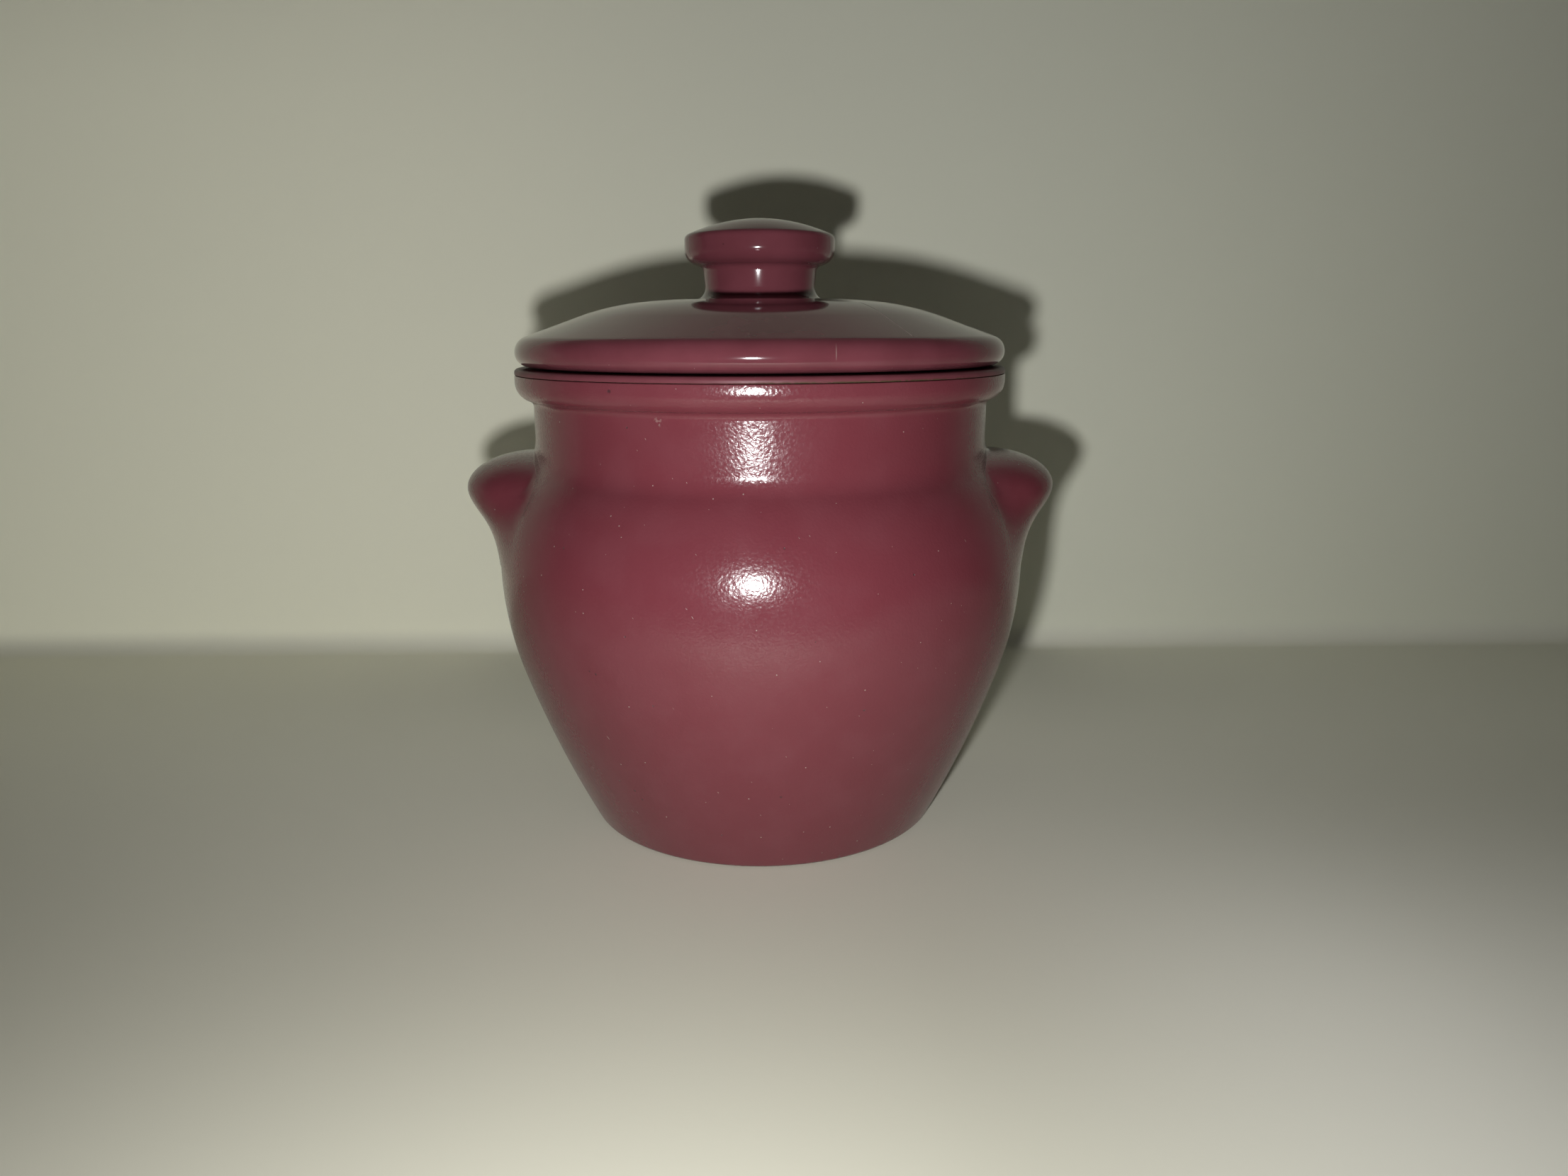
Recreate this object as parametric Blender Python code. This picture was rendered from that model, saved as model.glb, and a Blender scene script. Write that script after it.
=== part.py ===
# A small round-bellied pot of moulded plastic with two side lugs, a liner cup that
# hangs in its mouth, and a domed lid with a knob.
#
# Metres, +Z up. The origin is the centre of the foot, on the plane the pot stands on.
# +X runs through one lug, -X through the other, and the pot's axis is Z.
# Outlines are lists of (radius, height) points, which are turned about Z.

import math

import bmesh
import bpy

# --- clearances ---------------------------------------------------------------
REST_GAP = 0.0003           # between two faces that rest on each other
SLIP_GAP = 0.0004           # all round a piece that slips into another

# --- pot ----------------------------------------------------------------------
POT_WALL = 0.0018
BELLY_RADIUS = 0.0438
BELLY_HEIGHT = 0.0445
FLANK_ARC = 0.055           # upper flank, below the belly
FLANK_TURN = math.radians(18.5)
LOWER_ARC = 0.190           # lower flank, nearly straight
FOOT_EDGE = 0.0016          # rounding where the flank meets the standing ring
FOOT_RING_WIDTH = 0.0022
FOOT_RECESS = 0.0012        # how far the middle of the underside is raised
SHOULDER_ARC = 0.023        # above the belly
SHOULDER_INSET = 0.0066     # how far the neck stands in from the belly
SHOULDER_FILLET = 0.005
NECK_LENGTH = 0.0074        # straight part of the neck
RIM_PROUD = 0.0028          # how far the rim stands out from the neck
RIM_UNDER_ARC = 0.0029      # quarter round under the rim band
RIM_FILLET = 0.0012
RIM_BAND = 0.0012           # straight part of the rim band above the quarter round

# --- lugs on the pot ------------------------------------------------------------
LUG_PROUD = 0.0054          # from the belly's radius out to the tip
LUG_BELOW_NECK = 0.0060     # from the foot of the neck down to the tip
LUG_UPPER = 0.0056          # from the tip's height up to the lug's top
LUG_UNDER_SLOPE = 0.80      # how fast the underside runs in below the tip
LUG_UNDER_ROUND = 0.0022
LUG_HALF_ANGLE = math.radians(28.0)
LUG_END_POWER = 2.2         # how squarely the lug fades towards its two ends
LUG_END_HEIGHT = 0.25       # share of the upper part that is left at the ends
LUG_BLEND = 0.0042          # width of the soft join with the body
LUG_SINK = LUG_BLEND        # how deep the ends run into the body
LUG_NECK_FILLET = 0.0014

# --- liner cup ------------------------------------------------------------------
CUP_WALL = 0.0013
CUP_DRAFT = math.radians(2.6)
CUP_CORNER = 0.0040         # outer rounding between the cup's wall and its floor
CUP_ABOVE_FLOOR = 0.0120    # air space between the cup and the pot's floor
CUP_FLANGE = 0.0007
CUP_BEVEL = 0.0006          # rounding of the flange's top edge

# --- lid ------------------------------------------------------------------------
LID_WALL = 0.0016
LID_INSET = 0.0002          # how far the lid's edge stands in from the rim
LID_UNDER_ARC = 0.00215     # quarter round under the lid's edge
LID_OVER_ARC = 0.00265      # rounding above the lid's edge
LID_SLOPE = math.radians(20.0)
LID_CROWN_FLAT = 0.0145     # radius of the flat middle of the lid
LID_CROWN_ARC = 0.0450      # between the flat middle and the sloping part
SPIGOT_DEPTH = 0.0042
SPIGOT_WALL = 0.0014

# --- knob, moulded with the lid, heights above the lid's crown ---------------------
KNOB_WAIST = 0.0090
KNOB_WAIST_TOP = 0.0092
KNOB_FOOT_FILLET = 0.0019
KNOB_NECK_FILLET = 0.0011
KNOB_NECK_TURN = math.radians(81.0)     # how far the neck turns out under the head
KNOB_NECK_TOP = 0.0054      # underside of the head
KNOB_RADIUS = 0.0122
KNOB_SIDE_ARC = 0.00245
KNOB_SIDE_START = math.radians(-72.0)   # where the head's lower rounding starts
KNOB_EDGE_ARC = 0.0010
KNOB_EDGE_TURN = math.radians(62.0)     # where the head's upper rounding meets its top
KNOB_HEIGHT = 0.01275
KNOB_TOP_FALL = 0.0024      # from the middle of the top down to its edge
KNOB_CORE = 0.0066          # radius of the hollow inside
KNOB_CAP = 0.0022           # thickness left above that hollow

# --- mesh fineness --------------------------------------------------------------
LUG_COLUMNS = 10            # over half a lug
LUG_CROWDING = 1.7          # how much closer those columns stand at the lug's end
BODY_COLUMNS = 9            # from a lug's end to the quarter
CUP_COLUMNS = 48
LID_COLUMNS = 56

# --- values that follow from the ones above ----------------------------------------
QUARTER = math.pi / 2
BELLY_CENTRE = (BELLY_RADIUS - SHOULDER_ARC, BELLY_HEIGHT)
FLANK_CENTRE = (BELLY_RADIUS - FLANK_ARC, BELLY_HEIGHT)
LOWER_CENTRE = (FLANK_CENTRE[0] - (LOWER_ARC - FLANK_ARC) * math.cos(FLANK_TURN),
                FLANK_CENTRE[1] + (LOWER_ARC - FLANK_ARC) * math.sin(FLANK_TURN))
NECK_RADIUS = BELLY_RADIUS - SHOULDER_INSET
NECK_BORE = NECK_RADIUS - POT_WALL
RIM_RADIUS = NECK_RADIUS + RIM_PROUD
NECK_ACROSS = NECK_RADIUS + SHOULDER_FILLET - BELLY_CENTRE[0]
NECK_UP = math.sqrt((SHOULDER_ARC + SHOULDER_FILLET) ** 2 - NECK_ACROSS ** 2)
NECK_TURN = math.atan2(NECK_UP, NECK_ACROSS)
NECK_CENTRE = (NECK_RADIUS + SHOULDER_FILLET, BELLY_HEIGHT + NECK_UP)
RIM_FILLET_CENTRE = (NECK_RADIUS + RIM_FILLET, NECK_CENTRE[1] + NECK_LENGTH)
RIM_ACROSS = RIM_FILLET_CENTRE[0] - (RIM_RADIUS - RIM_UNDER_ARC)
RIM_UP = math.sqrt((RIM_UNDER_ARC + RIM_FILLET) ** 2 - RIM_ACROSS ** 2)
RIM_TURN = math.atan2(RIM_UP, RIM_ACROSS)
RIM_ARC_CENTRE = (RIM_RADIUS - RIM_UNDER_ARC, RIM_FILLET_CENTRE[1] + RIM_UP)
RIM_TOP = RIM_ARC_CENTRE[1] + RIM_BAND
POT_FLOOR = FOOT_RECESS + POT_WALL

LUG_REACH = BELLY_RADIUS + LUG_PROUD
LUG_TIP = NECK_CENTRE[1] - LUG_BELOW_NECK
LUG_FOOT = NECK_RADIUS + LUG_NECK_FILLET
LUG_CLEAR = LUG_TIP + LUG_UPPER + LUG_NECK_FILLET + LUG_BLEND / 2

FLANGE_BASE = RIM_TOP + REST_GAP
FLANGE_TOP = FLANGE_BASE + CUP_FLANGE
CUP_RADIUS = NECK_BORE - SLIP_GAP
CUP_MOUTH = CUP_RADIUS - CUP_WALL
CUP_BASE = POT_FLOOR + CUP_ABOVE_FLOOR

LID_BASE = FLANGE_TOP + REST_GAP
LID_RADIUS = RIM_RADIUS - LID_INSET
LID_EDGE_HEIGHT = LID_BASE + LID_UNDER_ARC
SPIGOT_RADIUS = CUP_MOUTH - SLIP_GAP
SLOPE_FOOT = (LID_RADIUS - LID_OVER_ARC * (1.0 - math.sin(LID_SLOPE)),
              LID_EDGE_HEIGHT + LID_OVER_ARC * math.cos(LID_SLOPE))
SLOPE_TOP_RADIUS = LID_CROWN_FLAT + LID_CROWN_ARC * math.sin(LID_SLOPE)
CROWN = (SLOPE_FOOT[1] + (SLOPE_FOOT[0] - LID_CROWN_FLAT) * math.tan(LID_SLOPE)
         - LID_CROWN_ARC * (1.0 / math.cos(LID_SLOPE) - 1.0))


def clear_scene():
    for item in list(bpy.data.objects):
        bpy.data.objects.remove(item, do_unlink=True)


def arc(centre, radius, start, end, steps):
    """Points of an arc from angle start to angle end, both ends included."""
    points = []
    for step in range(steps + 1):
        angle = start + (end - start) * step / steps
        points.append((centre[0] + radius * math.cos(angle), centre[1] + radius * math.sin(angle)))
    return points


def run(start, end, steps):
    """Points of a straight run, without its two ends."""
    points = []
    for step in range(1, steps):
        share = step / steps
        points.append((start[0] + (end[0] - start[0]) * share, start[1] + (end[1] - start[1]) * share))
    return points


def plastic(name, colour, roughness):
    material = bpy.data.materials.new(name)
    material.use_nodes = True
    shader = material.node_tree.nodes["Principled BSDF"]
    shader.inputs["Base Color"].default_value = (*colour, 1.0)
    shader.inputs["Roughness"].default_value = roughness
    shader.inputs["Metallic"].default_value = 0.0
    return material


def even_angles(count):
    return [2.0 * math.pi * step / count for step in range(count)]


def turned(name, outline, angles, material):
    """Turn a closed outline about Z. It runs from the axis at the underside, round the
    outside and back to the axis inside. A point is (radius, height), or a function of the
    angle that gives them where the piece isn't round.
    """
    shape = bmesh.new()
    rings = []
    for point in outline:
        ring = []
        for angle in angles:
            radius, height = point(angle) if callable(point) else point
            ring.append(shape.verts.new((radius * math.cos(angle), radius * math.sin(angle), height)))
            if radius == 0.0:
                break
        rings.append(ring)
    for lower, upper in zip(rings, rings[1:]):
        for step in range(len(angles)):
            following = (step + 1) % len(angles)
            if len(lower) == 1:
                shape.faces.new((lower[0], upper[following], upper[step]))
            elif len(upper) == 1:
                shape.faces.new((lower[step], lower[following], upper[0]))
            else:
                shape.faces.new((lower[step], lower[following], upper[following], upper[step]))
    mesh = bpy.data.meshes.new(name)
    shape.to_mesh(mesh)
    shape.free()
    mesh.materials.append(material)
    mesh.shade_smooth()
    mesh.set_sharp_from_angle(angle=math.radians(35.0))
    piece = bpy.data.objects.new(name, mesh)
    bpy.context.collection.objects.link(piece)
    return piece


# --- pot shell ---------------------------------------------------------------------

def foot_edge():
    """Centre of the foot's rounding, and the angle at which it meets the lower flank."""
    drop = LOWER_CENTRE[1] - FOOT_EDGE
    across = math.sqrt((LOWER_ARC - FOOT_EDGE) ** 2 - drop ** 2)
    return (LOWER_CENTRE[0] + across, FOOT_EDGE), -math.atan2(drop, across)


def below_lugs():
    """From the standing ring up to the belly."""
    foot_centre, foot_turn = foot_edge()
    points = arc(foot_centre, FOOT_EDGE, -QUARTER, foot_turn, 3)
    points += arc(LOWER_CENTRE, LOWER_ARC, foot_turn, -FLANK_TURN, 4)[1:]
    points += arc(FLANK_CENTRE, FLANK_ARC, -FLANK_TURN, 0.0, 4)[1:]
    return points


def above_lugs():
    """The rim, from the fillet under it to its top face."""
    points = arc(RIM_FILLET_CENTRE, RIM_FILLET, math.pi, math.pi - RIM_TURN, 3)
    points += arc(RIM_ARC_CENTRE, RIM_UNDER_ARC, -RIM_TURN, 0.0, 5)[1:]
    points.append((RIM_RADIUS, RIM_TOP))
    return points


def pot_inside():
    """From the mouth down the inner wall to the middle of the floor."""
    floor_angle = -math.asin((LOWER_CENTRE[1] - POT_FLOOR) / (LOWER_ARC - POT_WALL))
    points = [(NECK_BORE, RIM_TOP)]
    points += arc(NECK_CENTRE, SHOULDER_FILLET + POT_WALL, math.pi, math.pi + NECK_TURN, 3)
    points += arc(BELLY_CENTRE, SHOULDER_ARC - POT_WALL, NECK_TURN, 0.0, 5)[1:]
    points += arc(FLANK_CENTRE, FLANK_ARC - POT_WALL, 0.0, -FLANK_TURN, 3)[1:]
    points += arc(LOWER_CENTRE, LOWER_ARC - POT_WALL, -FLANK_TURN, floor_angle, 2)[1:]
    points.append((0.0, POT_FLOOR))
    return points


def body_radius(height):
    """The round body's radius at a height between the belly and the rim."""
    if height >= NECK_CENTRE[1]:
        return NECK_RADIUS
    if height >= BELLY_HEIGHT + SHOULDER_ARC * math.sin(NECK_TURN):
        return NECK_CENTRE[0] - math.sqrt(SHOULDER_FILLET ** 2 - (NECK_CENTRE[1] - height) ** 2)
    return BELLY_CENTRE[0] + math.sqrt(SHOULDER_ARC ** 2 - (height - BELLY_HEIGHT) ** 2)


def lug_section(height, top):
    """How far out a lug's section reaches at a height, where its top is at top."""
    above = height - top
    if above >= LUG_NECK_FILLET:
        return NECK_RADIUS - 2.0 * (above - LUG_NECK_FILLET)
    if above >= 0.0:
        return LUG_FOOT - math.sqrt(LUG_NECK_FILLET ** 2 - (LUG_NECK_FILLET - above) ** 2)
    if height >= LUG_TIP:
        share = (height - LUG_TIP) / (top - LUG_TIP)
        return LUG_FOOT + (LUG_REACH - LUG_FOOT) * math.sqrt(1.0 - share ** 2)
    below = LUG_TIP - height
    return LUG_REACH - LUG_UNDER_SLOPE * (math.hypot(below, LUG_UNDER_ROUND) - LUG_UNDER_ROUND)


def lug_height(stretch, share, top):
    """The height at a share of one stretch of the lug's section, from below to above."""
    if stretch == "underside":
        return BELLY_HEIGHT + (LUG_TIP - BELLY_HEIGHT) * share
    if stretch == "nose":
        return LUG_TIP + (top - LUG_TIP) * math.sin(QUARTER * share)
    if stretch == "fillet":
        return top + LUG_NECK_FILLET * (1.0 - math.cos(QUARTER * share))
    return top + LUG_NECK_FILLET + (LUG_CLEAR - top - LUG_NECK_FILLET) * share


def shoulder_point(stretch, share):
    """A point of the shoulder and its two lugs, as a function of the angle."""
    def point(angle):
        along = min(abs(math.remainder(angle, math.pi)) / LUG_HALF_ANGLE, 1.0)
        end = 1.0 - along ** LUG_END_POWER
        top = LUG_TIP + LUG_UPPER * (LUG_END_HEIGHT + (1.0 - LUG_END_HEIGHT) * end)
        height = lug_height(stretch, share, top)
        radius = body_radius(height)
        rise = (lug_section(height, top) - radius + LUG_SINK) * end - LUG_SINK
        near = max(1.0 - abs(rise) / LUG_BLEND, 0.0)
        return radius + max(rise, 0.0) + near ** 2 * LUG_BLEND / 4.0, height
    return point


def across_lugs():
    """Up the shoulder and the foot of the neck, where the lugs stand."""
    points = []
    for stretch, steps in (("underside", 11), ("nose", 8), ("fillet", 3), ("neck", 3)):
        points += [shoulder_point(stretch, step / steps) for step in range(1, steps + 1)]
    return points


def pot_angles():
    """Angles round the pot, closest together where the lugs end."""
    quarter = []
    for step in range(LUG_COLUMNS):
        quarter.append(LUG_HALF_ANGLE * (1.0 - (1.0 - step / LUG_COLUMNS) ** LUG_CROWDING))
    body = QUARTER - LUG_HALF_ANGLE
    quarter += [LUG_HALF_ANGLE + body * step / BODY_COLUMNS for step in range(BODY_COLUMNS)]
    mirrored = [math.pi - angle for angle in reversed(quarter[1:])]
    half = quarter + [QUARTER] + mirrored
    return half + [angle + math.pi for angle in half]


def make_pot_shell():
    foot_centre, _ = foot_edge()
    ring_inside = foot_centre[0] - FOOT_RING_WIDTH
    outline = [(0.0, FOOT_RECESS), (ring_inside - FOOT_RECESS, FOOT_RECESS), (ring_inside, 0.0)]
    outline += below_lugs()
    outline += across_lugs()
    outline += above_lugs()
    outline += pot_inside()
    return turned("pot_shell", outline, pot_angles(), plastic("satin_rose", (0.19, 0.045, 0.062), 0.42))


# --- liner cup ---------------------------------------------------------------------

def make_inner_cup():
    """A tapered cup whose flange lies on the pot's rim."""
    taper = math.tan(CUP_DRAFT)
    foot = CUP_RADIUS - (FLANGE_BASE - CUP_BASE) * taper
    floor = CUP_BASE + CUP_WALL
    inner_corner = CUP_CORNER - CUP_WALL
    inner_foot = CUP_MOUTH - (FLANGE_TOP - floor) * taper
    wall_foot = (foot, CUP_BASE + CUP_CORNER)
    inner_wall_foot = (inner_foot, floor + inner_corner)
    outline = [(0.0, CUP_BASE)]
    outline += arc((foot - CUP_CORNER, wall_foot[1]), CUP_CORNER, -QUARTER, 0.0, 4)
    outline += run(wall_foot, (CUP_RADIUS, FLANGE_BASE), 3)
    outline += [(CUP_RADIUS, FLANGE_BASE), (RIM_RADIUS, FLANGE_BASE)]
    outline += arc((RIM_RADIUS - CUP_BEVEL, FLANGE_TOP - CUP_BEVEL), CUP_BEVEL, 0.0, QUARTER, 4)
    outline += [(CUP_MOUTH, FLANGE_TOP)]
    outline += run((CUP_MOUTH, FLANGE_TOP), inner_wall_foot, 3)
    outline += arc((inner_foot - inner_corner, inner_wall_foot[1]), inner_corner, 0.0, -QUARTER, 3)
    outline += [(0.0, floor)]
    colour = (0.20, 0.045, 0.065)
    return turned("inner_cup", outline, even_angles(CUP_COLUMNS), plastic("gloss_rose_cup", colour, 0.30))


# --- lid and knob ------------------------------------------------------------------

def lid_top(radius):
    """Height of the lid's top at a radius, inside its rounded edge."""
    if radius <= LID_CROWN_FLAT:
        return CROWN
    if radius <= SLOPE_TOP_RADIUS:
        turn = math.asin((radius - LID_CROWN_FLAT) / LID_CROWN_ARC)
        return CROWN - LID_CROWN_ARC * (1.0 - math.cos(turn))
    return SLOPE_FOOT[1] + (SLOPE_FOOT[0] - radius) * math.tan(LID_SLOPE)


def lid_underside():
    """From the middle of the knob's hollow out to the foot of the spigot."""
    spigot_inside = SPIGOT_RADIUS - SPIGOT_WALL
    core_top = CROWN + KNOB_HEIGHT - KNOB_CAP
    points = [(0.0, core_top), (KNOB_CORE, core_top), (KNOB_CORE, CROWN - LID_WALL)]
    for radius in (LID_CROWN_FLAT, (LID_CROWN_FLAT + spigot_inside) / 2, spigot_inside):
        points.append((radius, lid_top(radius) - LID_WALL))
    points += [(spigot_inside, LID_BASE - SPIGOT_DEPTH), (SPIGOT_RADIUS, LID_BASE - SPIGOT_DEPTH)]
    points.append((SPIGOT_RADIUS, LID_BASE))
    return points


def lid_outside():
    """Round the lid's edge and up its slope to the foot of the knob."""
    under_centre = (LID_RADIUS - LID_UNDER_ARC, LID_EDGE_HEIGHT)
    over_centre = (LID_RADIUS - LID_OVER_ARC, LID_EDGE_HEIGHT)
    points = arc(under_centre, LID_UNDER_ARC, -QUARTER, 0.0, 5)
    points += arc(over_centre, LID_OVER_ARC, 0.0, QUARTER - LID_SLOPE, 5)[1:]
    for step in range(6):
        radius = SLOPE_TOP_RADIUS + (LID_CROWN_FLAT - SLOPE_TOP_RADIUS) * step / 5
        points.append((radius, lid_top(radius)))
    return points


def knob_outside():
    """From the knob's foot on the lid up to the middle of its top."""
    neck_top = CROWN + KNOB_NECK_TOP
    side_centre = (KNOB_RADIUS - KNOB_SIDE_ARC, neck_top + KNOB_SIDE_ARC)
    top = CROWN + KNOB_HEIGHT
    edge_centre = (KNOB_RADIUS - KNOB_EDGE_ARC, top - KNOB_TOP_FALL - KNOB_EDGE_ARC)
    foot_centre = (KNOB_WAIST + KNOB_FOOT_FILLET, CROWN + KNOB_FOOT_FILLET)
    neck_centre = (KNOB_WAIST_TOP + KNOB_NECK_FILLET, neck_top - KNOB_NECK_FILLET)
    points = arc(foot_centre, KNOB_FOOT_FILLET, -QUARTER, -math.pi, 4)
    points += arc(neck_centre, KNOB_NECK_FILLET, math.pi, math.pi - KNOB_NECK_TURN, 3)
    points += arc(side_centre, KNOB_SIDE_ARC, KNOB_SIDE_START, 0.0, 5)
    points += arc(edge_centre, KNOB_EDGE_ARC, 0.0, KNOB_EDGE_TURN, 3)
    corner = points[-1]
    for step in range(1, 6):
        share = 1.0 - step / 5
        points.append((corner[0] * share, top - (top - corner[1]) * share ** 2))
    return points


def make_lid():
    """Domed lid, knob and locating spigot in one moulding, cored out from below."""
    outline = lid_underside() + lid_outside() + knob_outside()
    material = plastic("gloss_rose", (0.20, 0.045, 0.065), 0.22)
    return turned("lid", outline, even_angles(LID_COLUMNS), material)


clear_scene()
make_pot_shell()
make_inner_cup()
make_lid()
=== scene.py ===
# The looks of a small lidded pot of rose plastic: a satin pot with two lugs, a glossy liner cup
# that hangs in its mouth, and a glossy domed lid with a knob. Metres, +Z up, the pot's axis is Z.

import math

import bmesh
import bpy
from mathutils import Euler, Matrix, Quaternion, Vector


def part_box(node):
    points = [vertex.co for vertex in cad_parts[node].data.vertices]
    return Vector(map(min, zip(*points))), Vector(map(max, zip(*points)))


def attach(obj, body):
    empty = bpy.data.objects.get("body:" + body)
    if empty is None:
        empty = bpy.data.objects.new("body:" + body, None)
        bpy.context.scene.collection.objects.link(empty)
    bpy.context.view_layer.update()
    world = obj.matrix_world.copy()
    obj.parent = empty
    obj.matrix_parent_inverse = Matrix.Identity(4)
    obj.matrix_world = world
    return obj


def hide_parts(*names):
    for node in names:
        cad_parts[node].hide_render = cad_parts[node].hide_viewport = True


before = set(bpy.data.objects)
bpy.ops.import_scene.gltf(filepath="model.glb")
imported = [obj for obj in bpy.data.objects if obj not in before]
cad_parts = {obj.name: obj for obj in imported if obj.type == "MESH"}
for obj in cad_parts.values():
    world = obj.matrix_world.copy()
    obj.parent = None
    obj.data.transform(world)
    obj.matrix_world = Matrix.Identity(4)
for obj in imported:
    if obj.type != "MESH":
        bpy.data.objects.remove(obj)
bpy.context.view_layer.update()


# --- Camera ---------------------------------------------------------------------------
# A wide lens held close, a little below the lid's knob and aimed down at the belly. It
# looks square at the pot, with one lug on each side.

CAMERA_DISTANCE = 0.1922        # from the pot's axis, along the floor
CAMERA_HEIGHT = 0.0829
CAMERA_ASIDE = math.radians(1.12)       # aimed this far past the axis, to the right
CAMERA_DOWN = math.radians(13.13)
CAMERA_ROLL = math.radians(-0.2)
LENS_MM = 26.04
SENSOR_MM = 36.0
NEAREST_SEEN = 0.01

camera = bpy.data.objects.new("camera", bpy.data.cameras.new("camera"))
camera.data.sensor_width = SENSOR_MM
camera.data.lens = LENS_MM
camera.data.clip_start = NEAREST_SEEN
camera.location = (0.0, -CAMERA_DISTANCE, CAMERA_HEIGHT)
upright = Euler((math.radians(90.0) - CAMERA_DOWN, 0.0, -CAMERA_ASIDE))
camera.rotation_mode = "QUATERNION"
camera.rotation_quaternion = upright.to_quaternion() @ Quaternion((0.0, 0.0, 1.0), CAMERA_ROLL)
bpy.context.collection.objects.link(camera)
bpy.context.scene.camera = camera
bpy.context.scene.view_settings.view_transform = "Standard"


# --- Floor and backdrop ----------------------------------------------------------------
# A pale floor that turns up behind the pot in a small sweep and stands as a backdrop.
# Its colour carries painted light and shade: the floor is darker just in front of the pot and
# paler behind it, at the right front and further forward; the backdrop is paler on the left,
# darker on the right and towards its top, and has a faint painted glow on the left.
# From behind it is see-through, so that it never hides the pot. The floor goes on in front
# of the sheet, where the pot's gloss doesn't mirror it.

SHEET_HALF_WIDTH = 0.9
SHEET_FRONT = 0.135             # from the pot's axis forward, all in metres
FLOOR_FRONT = 1.2
SHEET_TOP = 0.45
BACKDROP_DISTANCE = 0.096
SWEEP_RADIUS = 0.006
SWEEP_STEPS = 10
SHEET_CREASE = math.radians(30.0)       # a sharper bend than this shows as an edge

# Painted light and shade on the floor: darker just in front of the pot, paler behind it, at the right
# front and further forward.
FLOOR_PAINTED_LIGHT = (0.90, 0.89, 0.78, 1.0)
FLOOR_PAINTED_SHADE_FRONT = (0.52, 0.51, 0.42, 1.0)
FLOOR_PAINTED_LIGHT_BACK = (0.88, 0.87, 0.74, 1.0)
# Painted light and shade on the backdrop: paler on the left, darker on the right.
BACKDROP_PAINTED_LIGHT_LEFT = (0.96, 0.95, 0.78, 1.0)
BACKDROP_PAINTED_SHADE_RIGHT = (0.84, 0.85, 0.71, 1.0)
# Painted shade: the backdrop darkens towards its top.
BACKDROP_PAINTED_SHADE_HIGH = (0.34, 0.34, 0.29, 1.0)
WALL_PAINTED_GLOW = (0.11, 0.11, 0.085, 1.0)    # painted glow, a faint light of its own, strongest on the left
NO_PAINTED_GLOW = (0.0, 0.0, 0.0, 1.0)

FRONT_TO_BACK = (-75.0, 45.0)   # where one colour turns into the next, in millimetres
PAINTED_LIGHT_SIDE = (20.0, 90.0)
PAINTED_LIGHT_SIDE_DEPTH = (20.0, -70.0)
PAINTED_LIGHT_FRONT = (-95.0, -115.0)
WALL_ACROSS = (-120.0, 90.0)
WALL_PAINTED_SHADE_HEIGHTS = (160.0, 240.0)
PAINTED_GLOW_ACROSS = (10.0, -220.0)
PAINTED_GLOW_ENDS = (210.0, 130.0)
CARD_ROUGHNESS = 0.75
CARD_SPECULAR = 0.3
CARD_GRAIN = 1.2
CARD_RELIEF = 0.012


class Signal:
    """A value that runs through a material's nodes. Arithmetic on it adds Math nodes."""

    def __init__(self, tree, socket=None):
        self.tree = tree
        self.socket = socket

    def make(self, kind, settings, inputs, output=0):
        """Any other node: its settings come first, then its sockets, by value or by Signal."""
        node = self.tree.nodes.new(kind)
        for name, value in settings.items():
            setattr(node, name, value)
        for name, value in inputs.items():
            if isinstance(value, Signal):
                self.tree.links.new(value.socket, node.inputs[name])
            else:
                node.inputs[name].default_value = value
        return Signal(self.tree, node.outputs[output])

    def math(self, operation, first, second=0.0):
        return self.make("ShaderNodeMath", {"operation": operation}, {0: first, 1: second})

    def __add__(self, other):
        return self.math("ADD", self, other)

    def __sub__(self, other):
        return self.math("SUBTRACT", self, other)

    def __rsub__(self, other):
        return self.math("SUBTRACT", other, self)

    def __mul__(self, other):
        return self.math("MULTIPLY", self, other)

    def __abs__(self):
        return self.math("ABSOLUTE", self)

    __radd__ = __add__
    __rmul__ = __mul__

    def into(self, shader, name):
        self.tree.links.new(self.socket, shader.inputs[name])


def start_finish(name):
    """A new material, its shader, and the place on the piece in millimetres."""
    material = bpy.data.materials.new(name)
    material.use_nodes = True
    shader = material.node_tree.nodes["Principled BSDF"]
    place = Signal(material.node_tree).make("ShaderNodeTexCoord", {}, {}, "Object")
    place = place.make("ShaderNodeVectorMath", {"operation": "SCALE"}, {0: place, "Scale": 1000.0})
    return material, shader, place


def along(place, axis):
    """How far a place, or how much of a direction, lies along X, Y or Z."""
    return place.make("ShaderNodeSeparateXYZ", {}, {"Vector": place}, axis)


def ramp(signal, low, high):
    """0 where the signal is at low, 1 where it is at high, softly in between."""
    sockets = {"Value": signal, "From Min": low, "From Max": high}
    return signal.make("ShaderNodeMapRange", {"interpolation_type": "SMOOTHSTEP"}, sockets)


def clouds(place, size, detail=2.0):
    """Soft noise from 0 to 1 whose lumps are about this many millimetres apart."""
    sockets = {"Vector": place, "Scale": 1.0 / size, "Detail": detail}
    return place.make("ShaderNodeTexNoise", {}, sockets)


def painted(amount, under, over):
    """One colour laid over another by an amount from 0 to 1."""
    return amount.make("ShaderNodeMix", {"data_type": "RGBA"}, {0: amount, 6: under, 7: over}, 2)


def emboss(relief, shader):
    """Raise and sink the surface by a relief in millimetres."""
    raised = relief.make("ShaderNodeBump", {}, {"Distance": 0.001, "Height": relief})
    raised.into(shader, "Normal")


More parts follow.
